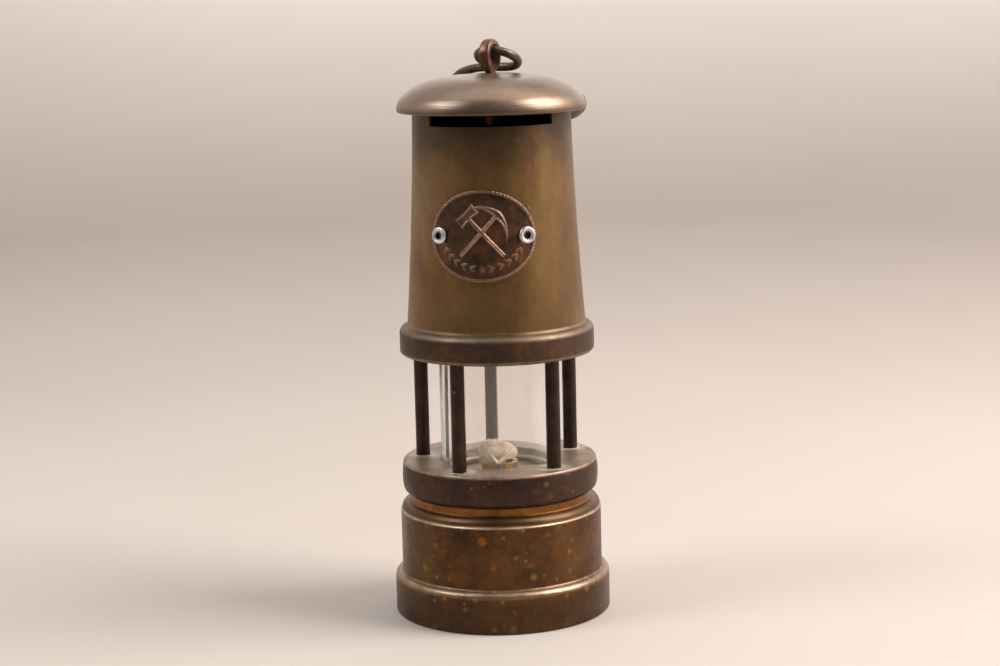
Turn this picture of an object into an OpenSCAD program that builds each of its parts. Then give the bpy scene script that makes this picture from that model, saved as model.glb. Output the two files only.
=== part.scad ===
// Miner's flame safety lamp: an oil vessel that unscrews from a pillared glass
// frame, with a gauze and bonnet above, a domed hood and a swinging hook.
// Units are millimetres. The origin is the centre of the flat base, +Z is up,
// and the emblem plate faces -Y.

/* [Oil vessel] */
// Outer diameter of the foot ring, which the rings, bonnet and hood follow
foot_d = 88; // [74:1:110]
// Height of the foot ring
foot_h = 16.8; // [10:0.2:22]
// Rounding of the foot ring's top edge
foot_round = 2.4; // [0.5:0.1:3]
// Radial step from the vessel's drum out to the foot ring
foot_step = 3; // [2:0.1:6]
// Height of the drum's upper edge above the base
drum_h = 42.6; // [34:0.2:60]
// Wall of the drum
drum_wall = 1.4; // [0.8:0.1:2.5]
// Thickness of the base plate
base_t = 2.4; // [1.6:0.2:5]
// Radius of the round shoulder over the drum
shoulder_r = 3.6; // [2:0.1:5]
// Radial step from the drum in to the neck band
neck_step = 4; // [3.6:0.1:8]
// Height of the bright neck band above the shoulder
neck_h = 3.3; // [2:0.1:8]
// Length of the vessel's screw neck
screw_len = 8; // [5:0.5:12]
// Radial step from the neck band in to the screw
screw_step = 3.1; // [2.4:0.1:6]
// Wall of the screw neck
screw_wall = 2.4; // [1.6:0.1:4]
// Thickness of the deck under the flame
deck_t = 2; // [1.2:0.1:4]
// Thickness of the sealing washer round the screw
seal_t = 0.8; // [0.5:0.1:1.5]

/* [Burner] */
// Outer diameter of the burner's collar
collar_d = 14.8; // [11:0.2:22]
// Height of the burner's collar
collar_h = 3.8; // [3:0.1:8]
// Number of notches in the collar
collar_notches = 4; // [3:1:8]
// Diameter of the burner's screw
burner_screw_d = 9; // [7.6:0.2:12]
// Bore of the wick tube
wick_bore = 5.2; // [3:0.1:6]
// Thickness of the washer under the burner
burner_washer_t = 0.5; // [0.3:0.1:1]
// Diameter of the frayed wick tuft
tuft_d = 16; // [10:0.5:18]
// Height of the wick tuft
tuft_h = 8; // [5:0.5:14]

/* [Pillar frame] */
// Radial overhang of the lower ring past the neck band
lower_overhang = 2.95; // [1.5:0.05:5]
// Thickness of the lower ring's web
lower_web = 4.9; // [4:0.1:8]
// Number of pillars
pillars = 5; // [3:1:6]
// Diameter of each pillar
pillar_d = 5.7; // [4:0.1:7]
// Distance from the lower ring's side in to the pillars' centres
pillar_inset = 7.75; // [6:0.05:8.5]
// Free length of each pillar between the rings
pillar_len = 43.9; // [36:0.1:60]
// Diameter of the pillars' screwed ends
tenon_d = 3; // [2:0.1:4]
// Radial step from the lower ring's side in to the upper ring's
upper_step = 0.55; // [0:0.05:1.2]
// Height of the upper ring
upper_ring_h = 11.5; // [10:0.1:18]
// Thickness of the upper ring's outer web
upper_web = 4; // [3.4:0.1:6]

/* [Glass] */
// Distance from the pillars' centres in to the glass
glass_inset = 8.4; // [5.4:0.1:12]
// Wall of the glass chimney
glass_wall = 3.3; // [2:0.1:5]
// Thickness of each glass washer
glass_washer_t = 1; // [0.5:0.1:2]

/* [Gauze] */
// Distance from the glass's outside in to the gauze's
gauze_inset = 4.5; // [3:0.1:8]
// Height of the gauze above its flange
gauze_h = 74; // [50:1:76]
// Thickness of the gauze
gauze_t = 0.8; // [0.6:0.1:1.6]

/* [Bonnet and hood] */
// Radial step from the upper ring's side in to the bonnet's foot
bonnet_step = 3.25; // [3:0.05:3.8]
// Radial narrowing of the bonnet from foot to mouth
bonnet_taper = 4.45; // [0:0.05:7]
// Wall of the bonnet
bonnet_wall = 1; // [0.6:0.1:2]
// Height of the bonnet up to its vent notch
bonnet_h = 81.2; // [70:0.2:110]
// Half of the angle that the vent notch spans
vent_half = 49; // [20:1:60]
// Turn of the vent notch away from the plate
vent_turn = 7.3; // [0:0.1:20]
// Height of the open vent under the hood's rim
vent_gap = 4.6; // [3:0.1:10]
// Radial overhang of the hood past the bonnet's mouth
hood_overhang = 6.3; // [4:0.1:12]
// Height of the hood from rim to crown
hood_h = 14.7; // [12:0.1:24]
// Wall of the hood
hood_wall = 1.2; // [0.8:0.1:2]

/* [Plate] */
// Width of the emblem plate, measured round the bonnet
plate_w = 44; // [30:0.5:50]
// Height of the emblem plate
plate_h = 36; // [24:0.5:44]
// Thickness of the emblem plate
plate_t = 1; // [0.6:0.1:2]
// Height of the plate's centre above the bonnet's foot
plate_up = 39.1; // [30:0.1:50]
// Distance between the plate's two rivets, round the bonnet
rivet_span = 36; // [24:0.5:38]
// Diameter of a rivet's head
rivet_head_d = 6.4; // [4:0.1:7]
// Diameter of a rivet's body
rivet_d = 3.2; // [2:0.1:4]

/* [Eye and hook] */
// Radial play of the hook's wire in the eye's loop
eye_play = 2.55; // [2.3:0.05:4]
// Thickness of the eye's strap
eye_strap_t = 2.1; // [1.6:0.1:2.4]
// Width of the eye's strap
eye_strap_w = 4.6; // [3.6:0.1:5]
// Diameter of the pin's two legs together
eye_leg_d = 3.9; // [3:0.1:5]
// Length of the pin's legs under the hood
eye_leg_len = 18.5; // [8:0.5:19]
// Direction that the eye's hole faces, from +X
eye_turn = -18; // [-180:1:180]
// Diameter of the hook's wire
hook_wire_d = 3.5; // [2.4:0.1:3.7]
// Centreline radius of the hook's small eye
hook_eye_r = 8.1; // [7.2:0.1:10]
// Centreline radius of the hook's crook
hook_crook_r = 27; // [15:0.5:34]
// Length of the hook's straight shank
hook_shank = 6.3; // [2:0.1:20]
// Gap between the resting hook and the hood
hook_rest_gap = 0.6; // [0.4:0.05:1.5]
// Angle that the crook bends through
crook_bend = 262; // [200:1:275]

/* [Fits] */
// Gap between pieces that only lie near each other
part_gap = 0.4; // [0.3:0.1:0.8]
// Radial clearance of screws and of running fits
run_gap = 0.05; // [0.02:0.01:0.1]

/* [Hidden] */
$fn = 96;

// Oil vessel
foot_r = foot_d / 2;
drum_r = foot_r - foot_step;
shoulder_set = 0.4;
shoulder_mid_r = drum_r - shoulder_set - shoulder_r;
neck_r = drum_r - neck_step;
neck_z = drum_h + shoulder_r + neck_h;
screw_r = neck_r - screw_step;
ring_z = neck_z + seal_t;
deck_z = neck_z + screw_len;
spigot_h = 2;
spigot_t = 1.2;
wadding_room = 1.6;
wadding_top = drum_h - spigot_h - wadding_room;

// Burner
collar_r = collar_d / 2;
burner_z = deck_z + burner_washer_t;
collar_top = burner_z + collar_h;
collar_floor = 1.2;
collar_wall = 1.8;
notch_w = 2.4;
burner_bore_r = burner_screw_d / 2 + run_gap;
bush_h = 5;
bush_r = burner_bore_r + 2.6;
bush_flange_r = bush_r + 1.2;
wick_r = wick_bore / 2 - run_gap;
wick_tube_t = 0.9;
wick_tube_r = wick_bore / 2 + wick_tube_t;
wick_tube_len = 18;
wick_depth = 40;
tuft_r = tuft_d / 2;

// Lower ring and the glass seat inside it
web_z = deck_z + part_gap;
lower_top = web_z + lower_web;
lower_r = neck_r + lower_overhang;
pillar_ring_r = lower_r - pillar_inset;
glass_r = pillar_ring_r - glass_inset;
glass_play = 0.5;
glass_hole_r = glass_r + glass_play;
seat_ring_t = 2.2;
seat_r = glass_hole_r + seat_ring_t;
seat_lip = 1;
seat_inner_r = glass_r - glass_wall + part_gap;
seat_floor_t = 1.3;
seat_z = web_z;
seat_top = lower_top - seat_lip;
glass_z = seat_z + seat_floor_t + glass_washer_t;

// Pillars and the upper ring
pillar_r = pillar_d / 2;
pillar_turn = 104.3;
tenon_r = tenon_d / 2;
tenon_floor = 1;
tenon_len = lower_web - tenon_floor;
upper_z = lower_top + pillar_len;
web_top = upper_z + upper_web;
nut_h = 2.6;
nut_r = tenon_r + 1.4;
nut_room = 0.2;
cavity_r = pillar_ring_r + nut_r + nut_room;
upper_r = lower_r - upper_step;
upper_top = upper_z + upper_ring_h;
upper_round = 3;
glass_socket = 2;
glass_top = upper_z + glass_socket;
glass_seat_z = glass_top + glass_washer_t;
gauze_ledge = 1;
gauze_seat_z = web_top + gauze_ledge;

// Gauze
gauze_r = glass_r - gauze_inset;
gauze_flange_t = 1.6;
gauze_collar_t = 1.4;
gauze_collar_h = 3.4;
gauze_taper = 1.6;
gauze_crown_h = 12;

// Bonnet
bonnet_r = upper_r - bonnet_step;
bonnet_top_r = bonnet_r - bonnet_taper;
bonnet_flare = 1.62;
bonnet_z = upper_top;
vent_z = bonnet_z + bonnet_h;
bonnet_in_hood = 7.4;
bonnet_top = vent_z + vent_gap + bonnet_in_hood;
bonnet_fillet = 1;

// Hood, from three tangent arcs: crown, shoulder and rim
hood_r = bonnet_top_r + hood_overhang;
hood_rim_z = vent_z + vent_gap;
hood_top = hood_rim_z + hood_h;
rim_arc_r = 7.5;
rim_h = 0.9;
rim_arc_z = hood_rim_z + rim_h;
crown_arc_r = 170;
crown_reach = 20;
crown_angle = asin(crown_reach / crown_arc_r);
crown_end = [crown_reach, hood_top - crown_arc_r * (1 - cos(crown_angle))];
crown_normal = [sin(crown_angle), cos(crown_angle)];
rim_c = [hood_r - rim_arc_r, rim_arc_z];
rim_offset = crown_end - rim_c;
side_arc_r = (rim_offset * rim_offset - rim_arc_r * rim_arc_r) / 2
    / (rim_offset * crown_normal - rim_arc_r);
side_c = crown_end - side_arc_r * crown_normal;
side_angle = atan2(rim_c[1] - side_c[1], rim_c[0] - side_c[0]);
crown_c = [0, hood_top - crown_arc_r];

// Plate and rivets
plate_z = bonnet_z + plate_up;
rivet_r = rivet_d / 2;
rivet_head_r = rivet_head_d / 2;
rivet_bore_r = 0.95;
rivet_head_h = 1;
rivet_tail_h = 2.4;
rivet_angle = rivet_span / 2 / (bonnet_radius(plate_z) + plate_t) * 180 / PI;

// Eye and hook
hook_r = hook_wire_d / 2;
eye_hole_r = hook_r + eye_play;
eye_r = eye_hole_r + eye_strap_t;
eye_lift = 0.7;
eye_z = hood_top + eye_lift + eye_r;
leg_r = eye_leg_d / 2;
leg_hole_r = leg_r + run_gap + 0.03;
leg_neck_t = 0.35;
leg_splay = 8;
washer_r = 5.5;
washer_t = 1;
hook_eye_gap = 0.55;
hook_pass_z = eye_z + eye_hole_r - hook_r - hook_eye_gap;
eye_wire_bend = 303;
crook_c = [-hook_shank, 2 * hook_eye_r + hook_crook_r];
// Centreline of the hook's wire in its own plane: +Y runs down the slope from the eye's top
HOOK_LINE = concat(
    arc([0, hook_eye_r], hook_eye_r, 90, 90 - eye_wire_bend, 40),
    arc(crook_c, hook_crook_r, -90, -90 - crook_bend, 60)
);
// The hook swings down until it almost meets the hood, to a tenth of a degree
hook_slope = round(10 * rest_slope(0, 60)) / 10;

PILLAR_NAMES = [for (i = [1:pillars]) str("pillar_", i)];

// ---- Shared shapes ----

// Points of an arc in a half section, from angle a0 to a1
function arc(centre, r, a0, a1, steps = 8) =
    [for (i = [0:steps]) let (a = a0 + (a1 - a0) * i / steps)
        centre + r * [cos(a), sin(a)]];

// Outer radius of the flared bonnet at height z
function bonnet_radius(z) =
    let (t = min(1, max(0, (z - bonnet_z) / (bonnet_top - bonnet_z))))
    bonnet_top_r + (bonnet_r - bonnet_top_r) * pow(1 - t, bonnet_flare);

module lathe(points) {
    rotate_extrude() polygon(points);
}

module ring(inner, outer, z, h) {
    translate([0, 0, z])
        difference() {
            cylinder(r = outer, h = h);
            translate([0, 0, -1]) cylinder(r = inner, h = h + 2);
        }
}

module at_pillars() {
    for (i = [1:pillars]) at_pillar(i) children();
}

module at_pillar(i) {
    rotate([0, 0, pillar_turn + 360 / pillars * (i - 1)])
        translate([pillar_ring_r, 0, 0]) children();
}

// Distance from a point outside the hood, given as [radius, height], to the hood's surface
function hood_gap(p) =
    let (from_crown = p - crown_c, from_side = p - side_c)
    atan2(from_crown[0], from_crown[1]) < crown_angle ? norm(from_crown) - crown_arc_r
    : atan2(from_side[1], from_side[0]) > side_angle ? norm(from_side) - side_arc_r
    : norm(p - rim_c) - rim_arc_r;

// Smallest gap between the hood and the hook's wire, lying at the given slope
function hook_gap(slope) = -hook_r + min([for (p = HOOK_LINE)
    hood_gap([norm([p[0], p[1] * cos(slope)]), hook_pass_z - p[1] * sin(slope)])]);

// Steepest slope that leaves hook_rest_gap, by halving the range
function rest_slope(low, high, halvings = 16) =
    let (mid = (low + high) / 2)
    halvings == 0 ? mid
    : hook_gap(mid) > hook_rest_gap ? rest_slope(mid, high, halvings - 1)
    : rest_slope(low, mid, halvings - 1);

// ---- Oil vessel ----

module foot_ring() {
    base_edge = 0.7;
    fillet = 1;
    color("#6b4a2c")
        lathe(concat(
            [[drum_r, 0]],
            arc([foot_r - base_edge, base_edge], base_edge, -90, 0, 4),
            arc([foot_r - foot_round, foot_h - foot_round], foot_round, 0, 90),
            arc([drum_r + fillet, foot_h + fillet], fillet, 270, 180, 4)
        ));
}

module vessel_drum() {
    edge = 0.4;
    color("#6a4526")
        lathe([
            [drum_r - drum_wall, 0],
            [drum_r, 0],
            [drum_r, drum_h - edge],
            [drum_r - edge, drum_h],
            [drum_r - drum_wall, drum_h]
        ]);
}

module vessel_base() {
    color("#6e5433") cylinder(r = drum_r - drum_wall, h = base_t);
}

module vessel_top() {
    lip_r = drum_r - drum_wall;
    bore_r = screw_r - screw_wall;
    shell = shoulder_r - drum_wall;
    color("#a8692b")
        lathe(concat(
            arc([shoulder_mid_r, drum_h], shoulder_r, 0, 90),
            [
                [neck_r, drum_h + shoulder_r],
                [neck_r, neck_z],
                [screw_r, neck_z],
                [screw_r, deck_z],
                [bush_r, deck_z],
                [bush_r, deck_z - deck_t],
                [bore_r, deck_z - deck_t],
                [bore_r, drum_h + shell]
            ],
            arc([shoulder_mid_r, drum_h], shell, 90, 30, 4),
            [
                [lip_r - spigot_t, drum_h],
                [lip_r - spigot_t, drum_h - spigot_h],
                [lip_r, drum_h - spigot_h],
                [lip_r, drum_h]
            ]
        ));
}

// Threaded bush that takes the burner, brazed into the deck from below
module burner_bush() {
    color("#b0803a")
        lathe([
            [burner_bore_r, deck_z - bush_h],
            [bush_flange_r, deck_z - bush_h],
            [bush_flange_r, deck_z - deck_t],
            [bush_r, deck_z - deck_t],
            [bush_r, deck_z],
            [burner_bore_r, deck_z]
        ]);
}

module cotton_wadding() {
    tube_room = 1.4;
    wall_room = 1;
    color("#ded2b4")
        ring(
            wick_tube_r + tube_room, drum_r - drum_wall - wall_room,
            base_t + part_gap, wadding_top - base_t
        );
}

module vessel_seal() {
    seal_inset = 0.3;
    color("#2d2622")
        ring(screw_r + part_gap, neck_r - seal_inset, neck_z, seal_t);
}

// ---- Burner ----

module burner() {
    notch_turn = -82;
    notch_floor = 0.4;
    color("#b0803a")
        difference() {
            union() {
                translate([0, 0, burner_z - bush_h])
                    cylinder(d = burner_screw_d, h = bush_h + collar_floor);
                translate([0, 0, burner_z - wick_tube_len])
                    cylinder(r = wick_tube_r, h = wick_tube_len + collar_floor);
                translate([0, 0, burner_z]) cylinder(r = collar_r, h = collar_h);
            }
            translate([0, 0, burner_z + collar_floor])
                cylinder(r = collar_r - collar_wall, h = collar_h);
            translate([0, 0, burner_z - wick_tube_len - 1])
                cylinder(d = wick_bore, h = wick_tube_len + collar_h + 2);
            for (i = [1:collar_notches])
                rotate([0, 0, 360 / collar_notches * i + notch_turn])
                    translate([0, -notch_w / 2, burner_z + collar_floor + notch_floor])
                        cube([collar_r + 1, notch_w, collar_h]);
        }
}

module burner_washer() {
    washer_inset = 0.6;
    color("#4b3423")
        ring(burner_screw_d / 2 + part_gap, collar_r - washer_inset, deck_z, burner_washer_t);
}

module wick() {
    foot_z = collar_top + part_gap;
    crown = 3;
    color("#e6dcc4")
        lathe(concat(
            [[0, burner_z - wick_depth], [wick_r, burner_z - wick_depth], [wick_r, foot_z]],
            [[tuft_r * 0.8, foot_z], [tuft_r, foot_z + tuft_h * 0.3]],
            [[tuft_r * 0.88, foot_z + tuft_h - crown], [tuft_r * 0.5, foot_z + tuft_h]],
            [[0, foot_z + tuft_h]]
        ));
}

// ---- Pillar frame ----

module lower_ring() {
    bulge_r = 30;
    bulge_z = (ring_z + lower_top) / 2;
    bulge_angle = 10;
    lower_round = 1.6;
    top_edge = 0.8;
    side_r = lower_r - bulge_r * (1 - cos(bulge_angle));
    color("#4f3323")
        difference() {
            lathe(concat(
                [[screw_r + run_gap, ring_z]],
                arc([side_r - lower_round, ring_z + lower_round], lower_round, -90, -20, 4),
                arc([lower_r - bulge_r, bulge_z], bulge_r, -8, 9, 6),
                arc([side_r - top_edge, lower_top - top_edge], top_edge, 10, 90, 4),
                [
                    [glass_hole_r, lower_top],
                    [glass_hole_r, seat_top],
                    [seat_r, seat_top],
                    [seat_r, web_z],
                    [screw_r + run_gap, web_z]
                ]
            ));
            at_pillars() translate([0, 0, lower_top - tenon_len])
                cylinder(r = tenon_r, h = tenon_len + 1);
        }
}

module glass_seat_ring() {
    wall_top = seat_top - 0.1;
    color("#8f6a35")
        lathe([
            [seat_inner_r, seat_z],
            [seat_r, seat_z],
            [seat_r, wall_top],
            [glass_hole_r, wall_top],
            [glass_hole_r, seat_z + seat_floor_t],
            [seat_inner_r, seat_z + seat_floor_t]
        ]);
}

module lower_glass_washer() {
    color("#cfc6b2")
        ring(seat_inner_r, glass_r, seat_z + seat_floor_t, glass_washer_t);
}

module glass_chimney() {
    color("#dfe8e6", 0.35)
        ring(glass_r - glass_wall, glass_r, glass_z, glass_top - glass_z);
}

module upper_glass_washer() {
    color("#cfc6b2")
        ring(glass_r - glass_wall, glass_r, glass_top, glass_washer_t);
}

module pillar(i) {
    tenon_end = 0.8;
    color("#33231b")
        at_pillar(i) {
            translate([0, 0, lower_top]) cylinder(r = pillar_r, h = pillar_len);
            translate([0, 0, lower_top - tenon_len]) cylinder(r = tenon_r, h = tenon_len);
            translate([0, 0, upper_z]) cylinder(r = tenon_r, h = upper_web + nut_h + tenon_end);
        }
}

module pillar_nuts() {
    color("#9a763f")
        at_pillars() translate([0, 0, web_top])
            difference() {
                cylinder(r = nut_r, h = nut_h, $fn = 6);
                translate([0, 0, -1]) cylinder(r = tenon_r, h = nut_h + 2);
            }
}

module upper_ring() {
    lower_round = 1.5;
    color("#53382a")
        difference() {
            lathe(concat(
                [[glass_hole_r, upper_z]],
                arc([upper_r - lower_round, upper_z + lower_round], lower_round, -90, 0, 4),
                arc([upper_r - upper_round, upper_top - upper_round], upper_round, 0, 90),
                [
                    [cavity_r, upper_top],
                    [cavity_r, web_top],
                    [seat_r + 1, web_top],
                    [seat_r + 1, gauze_seat_z],
                    [gauze_r - gauze_t, gauze_seat_z],
                    [gauze_r - gauze_t, glass_seat_z],
                    [glass_hole_r, glass_seat_z]
                ]
            ));
            at_pillars() translate([0, 0, upper_z - 1])
                cylinder(r = tenon_r, h = upper_web + 2);
        }
}

// ---- Gauze ----

module gauze_ring() {
    collar_z = gauze_seat_z + gauze_flange_t;
    color("#9a763f")
        lathe([
            [gauze_r, gauze_seat_z],
            [seat_r, gauze_seat_z],
            [seat_r, collar_z],
            [gauze_r + gauze_collar_t, collar_z],
            [gauze_r + gauze_collar_t, collar_z + gauze_collar_h],
            [gauze_r, collar_z + gauze_collar_h]
        ]);
}

module gauze() {
    top_r = gauze_r - gauze_taper;
    top_z = gauze_seat_z + gauze_h;
    straight = 6;
    color("#7d7466")
        lathe([
            [gauze_r - gauze_t, gauze_seat_z],
            [gauze_r, gauze_seat_z],
            [gauze_r, gauze_seat_z + straight],
            [top_r, top_z - gauze_crown_h],
            [top_r + gauze_t, top_z - gauze_crown_h],
            [top_r + gauze_t, top_z - 1],
            [top_r, top_z],
            [0, top_z],
            [0, top_z - gauze_t],
            [top_r - gauze_t, top_z - gauze_t],
            [top_r - gauze_t, top_z - gauze_crown_h],
            [gauze_r - gauze_t, gauze_seat_z + straight]
        ]);
}

// ---- Bonnet, plate and hood ----

function bonnet_line(offset, z0, z1, steps = 16) =
    [for (i = [0:steps]) let (z = z0 + (z1 - z0) * i / steps)
        [bonnet_radius(z) + offset, z]];

// A wedge that reaches from the axis past the hood, centred on the given direction
module wedge(direction, half, z, h) {
    reach = hood_r * 1.5;
    rotate([0, 0, direction])
        translate([0, 0, z])
            linear_extrude(h)
                polygon([[0, 0], [reach, -reach * tan(half)], [reach, reach * tan(half)]]);
}

// Space inside the hood, below its inner face
module hood_hollow() {
    lathe(concat([[0, bonnet_z]], [[hood_r - hood_wall, bonnet_z]], hood_line(hood_wall, 0)));
}

module bonnet() {
    bonnet_toe = 0.3;
    inner = bonnet_line(-bonnet_wall, bonnet_z, bonnet_top);
    outer = bonnet_line(0, bonnet_z + bonnet_fillet, bonnet_top);
    foot = [[bonnet_r + bonnet_toe, bonnet_z]];
    color("#6f5b33")
        difference() {
            intersection() {
                lathe(concat(foot, outer, [for (i = [len(inner) - 1:-1:0]) inner[i]]));
                hood_hollow();
            }
            wedge(vent_turn - 90, vent_half, vent_z, bonnet_top);
            rivet_holes();
        }
}

// Places a child on the bonnet at each rivet, +Z outwards from the plate's face
module at_rivets() {
    lean = atan((bonnet_radius(plate_z - 5) - bonnet_radius(plate_z + 5)) / 10);
    for (side = [-1, 1])
        rotate([0, 0, side * rivet_angle - 90])
            translate([bonnet_radius(plate_z) + plate_t, 0, plate_z])
                rotate([0, 90 - lean, 0]) children();
}

module rivet_holes() {
    at_rivets() translate([0, 0, -6]) cylinder(r = rivet_r, h = 8);
}

module emblem_plate() {
    bend_r = bonnet_radius(plate_z) + plate_t;
    half_w = plate_w / 2;
    oval = [for (i = [0:47]) let (a = i * 7.5)
        [bend_r * sin(half_w * cos(a) / bend_r * 180 / PI), plate_z + plate_h / 2 * sin(a)]];
    low = plate_z - plate_h / 2 - 1;
    high = plate_z + plate_h / 2 + 1;
    inner = bonnet_line(0, low, high, 4);
    outer = bonnet_line(plate_t, low, high, 4);
    color("#5a4028")
        difference() {
            intersection() {
                lathe(concat(outer, [for (i = [len(inner) - 1:-1:0]) inner[i]]));
                rotate([90, 0, 0]) linear_extrude(foot_d) polygon(oval);
            }
            rivet_holes();
        }
}

module plate_rivets() {
    grip = plate_t + bonnet_wall;
    crown = 0.35;
    seat = 0.12;
    color("#c9c9c6")
        at_rivets()
            lathe([
                [rivet_bore_r, -grip - rivet_tail_h],
                [rivet_r, -grip - rivet_tail_h],
                [rivet_r, seat],
                [rivet_head_r, seat],
                [rivet_head_r - crown, seat + rivet_head_h * 0.6],
                [rivet_bore_r + crown, seat + rivet_head_h],
                [rivet_bore_r, seat + rivet_head_h - crown]
            ]);
}

// Half section of the hood's surface, from rim to crown, moved inwards by inset
function hood_line(inset, rim_drop) = concat(
    rim_drop > 0 ? [[hood_r - 0.2 - inset, rim_arc_z - rim_drop]] : [],
    arc(rim_c, rim_arc_r - inset, 0, side_angle, 6),
    arc(side_c, side_arc_r - inset, side_angle, 90 - crown_angle, 8),
    arc(crown_c, crown_arc_r - inset, 90 - crown_angle, 90, 4)
);

module hood() {
    outer = hood_line(0, 0.6);
    inner = hood_line(hood_wall, 0.9);
    color("#8a6a55")
        difference() {
            lathe(concat(
                [[hood_r - 0.6, hood_rim_z]], outer, [for (i = [len(inner) - 1:-1:0]) inner[i]]
            ));
            translate([0, 0, hood_top - 5]) cylinder(r = leg_hole_r, h = 10);
        }
}

// ---- Eye and hook ----

module eye_washer() {
    // The hood's crown falls away this much over the washer
    washer_drop = 0.1;
    color("#8a6a3a")
        ring(leg_hole_r, washer_r, hood_top - hood_wall - washer_t - washer_drop, washer_t);
}

// One leg of the split pin, half round, hanging down from the origin
module pin_leg(length) {
    translate([0, 0, -length])
        linear_extrude(length)
            intersection() {
                circle(r = leg_r);
                translate([-leg_r, 0]) square([2 * leg_r, leg_r]);
            }
}

module eye_pin() {
    foot_z = hood_top + leg_neck_t;
    splay_z = hood_top - hood_wall - washer_t - leg_neck_t * 2;
    overlap = 0.3;
    neck_half = leg_r + leg_neck_t;
    drop = eye_z - foot_z;
    // Where the straight side of the teardrop leaves the round loop
    far = norm([neck_half, drop]);
    touch = acos(eye_r / far) + atan2(-drop, neck_half);
    touch_p = eye_r * [cos(touch), sin(touch)];
    color("#7c4a33")
        rotate([0, 0, eye_turn]) {
            translate([-eye_strap_w / 2, 0, eye_z])
                rotate([90, 0, 90])
                    linear_extrude(eye_strap_w)
                        difference() {
                            union() {
                                circle(r = eye_r);
                                polygon([
                                    [-neck_half, -drop], [neck_half, -drop],
                                    touch_p, [-touch_p[0], touch_p[1]]
                                ]);
                            }
                            circle(r = eye_hole_r);
                        }
            translate([0, 0, splay_z]) cylinder(r = leg_r, h = foot_z - splay_z);
            for (side = [0, 180])
                rotate([0, 0, side])
                    translate([0, 0, splay_z + overlap])
                        rotate([leg_splay, 0, 0]) pin_leg(eye_leg_len);
        }
}

module wire_arc(r, angle) {
    rotate_extrude(angle = angle) translate([r, 0]) circle(r = hook_r, $fn = 32);
}

// Lies flat in its own plane: the eye's top is at the origin, +Y runs down the slope.
// The shank reaches into both bends, a hair thinner than they are.
module hook_wire() {
    thinner = hook_r - 0.02;
    reach = 0.6;
    shank_y = 2 * hook_eye_r;
    translate([0, hook_eye_r, 0]) rotate([0, 0, 90 - eye_wire_bend])
        wire_arc(hook_eye_r, eye_wire_bend);
    translate([-hook_shank - reach, shank_y, 0]) rotate([0, 90, 0])
        cylinder(r = thinner, h = hook_shank + 2 * reach, $fn = 32);
    translate(concat(crook_c, 0)) rotate([0, 0, -90 - crook_bend]) {
        wire_arc(hook_crook_r, crook_bend);
        translate([hook_crook_r, 0, 0]) sphere(r = thinner, $fn = 32);
    }
}

module hook() {
    color("#40342c")
        translate([0, 0, hook_pass_z]) rotate([0, 0, eye_turn]) rotate([-hook_slope, 0, 0])
            hook_wire();
}

foot_ring();
vessel_drum();
vessel_base();
vessel_top();
burner_bush();
cotton_wadding();
vessel_seal();
burner();
burner_washer();
wick();
lower_ring();
glass_seat_ring();
lower_glass_washer();
glass_chimney();
upper_glass_washer();
for (i = [1:pillars])
    pillar(i);
pillar_nuts();
upper_ring();
gauze_ring();
gauze();
bonnet();
hood();
emblem_plate();
plate_rivets();
eye_pin();
eye_washer();
hook();
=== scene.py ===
"""Looks of the miner's flame safety lamp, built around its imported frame.

Lengths in this script are millimetres until a mesh is made, and the frame is in metres.
The lamp's axis is Z, the emblem plate faces -Y.
"""
import math
import random

import bpy
import numpy as np
from mathutils import Matrix, Vector


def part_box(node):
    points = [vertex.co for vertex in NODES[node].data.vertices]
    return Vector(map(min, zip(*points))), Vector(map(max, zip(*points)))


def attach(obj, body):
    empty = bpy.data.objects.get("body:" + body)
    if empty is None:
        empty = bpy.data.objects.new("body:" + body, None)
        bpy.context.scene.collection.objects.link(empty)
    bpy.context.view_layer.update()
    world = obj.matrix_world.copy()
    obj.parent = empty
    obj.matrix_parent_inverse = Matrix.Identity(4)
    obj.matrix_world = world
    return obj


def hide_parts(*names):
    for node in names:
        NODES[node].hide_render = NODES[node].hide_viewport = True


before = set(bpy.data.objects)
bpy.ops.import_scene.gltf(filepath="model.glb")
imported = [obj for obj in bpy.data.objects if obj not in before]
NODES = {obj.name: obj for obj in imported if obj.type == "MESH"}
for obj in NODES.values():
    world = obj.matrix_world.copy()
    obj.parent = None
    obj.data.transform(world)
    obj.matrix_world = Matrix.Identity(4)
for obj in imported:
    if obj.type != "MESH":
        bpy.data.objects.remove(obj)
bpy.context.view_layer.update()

MM = 0.001
TAU = 2 * math.pi


def box_mm(node):
    """Lowest and highest corner of a CAD node, in millimetres."""
    low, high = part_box(node)
    return low / MM, high / MM


# ---- Sizes taken from the frame ----

DRUM_TOP = box_mm("vessel_drum")[1].z
DRUM_R = box_mm("vessel_drum")[1].x
FOOT_TOP = box_mm("foot_ring")[1].z - 1
DECK_Z = box_mm("vessel_top")[1].z
LOWER_TOP = box_mm("lower_ring")[1].z
UPPER_BOTTOM, UPPER_TOP = (corner.z for corner in box_mm("upper_ring"))
GLASS_BOTTOM, GLASS_TOP = (corner.z for corner in box_mm("glass_chimney"))
GLASS_R = box_mm("glass_chimney")[1].x
BONNET_BOTTOM, BONNET_TOP = (corner.z for corner in box_mm("bonnet"))
HOOD_RIM, HOOD_TOP = (corner.z for corner in box_mm("hood"))
GAUZE_BOTTOM, GAUZE_TOP = (corner.z for corner in box_mm("gauze"))
PLATE_Z = (box_mm("emblem_plate")[0].z + box_mm("emblem_plate")[1].z) / 2
EYE_TOP = box_mm("eye_pin")[1].z
EYE_LEG_END = box_mm("eye_pin")[0].z
WICK_FOOT, WICK_TOP = (corner.z for corner in box_mm("wick"))
BURNER_TOP = box_mm("burner")[1].z

# ---- Sizes shared with the design ----

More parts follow.
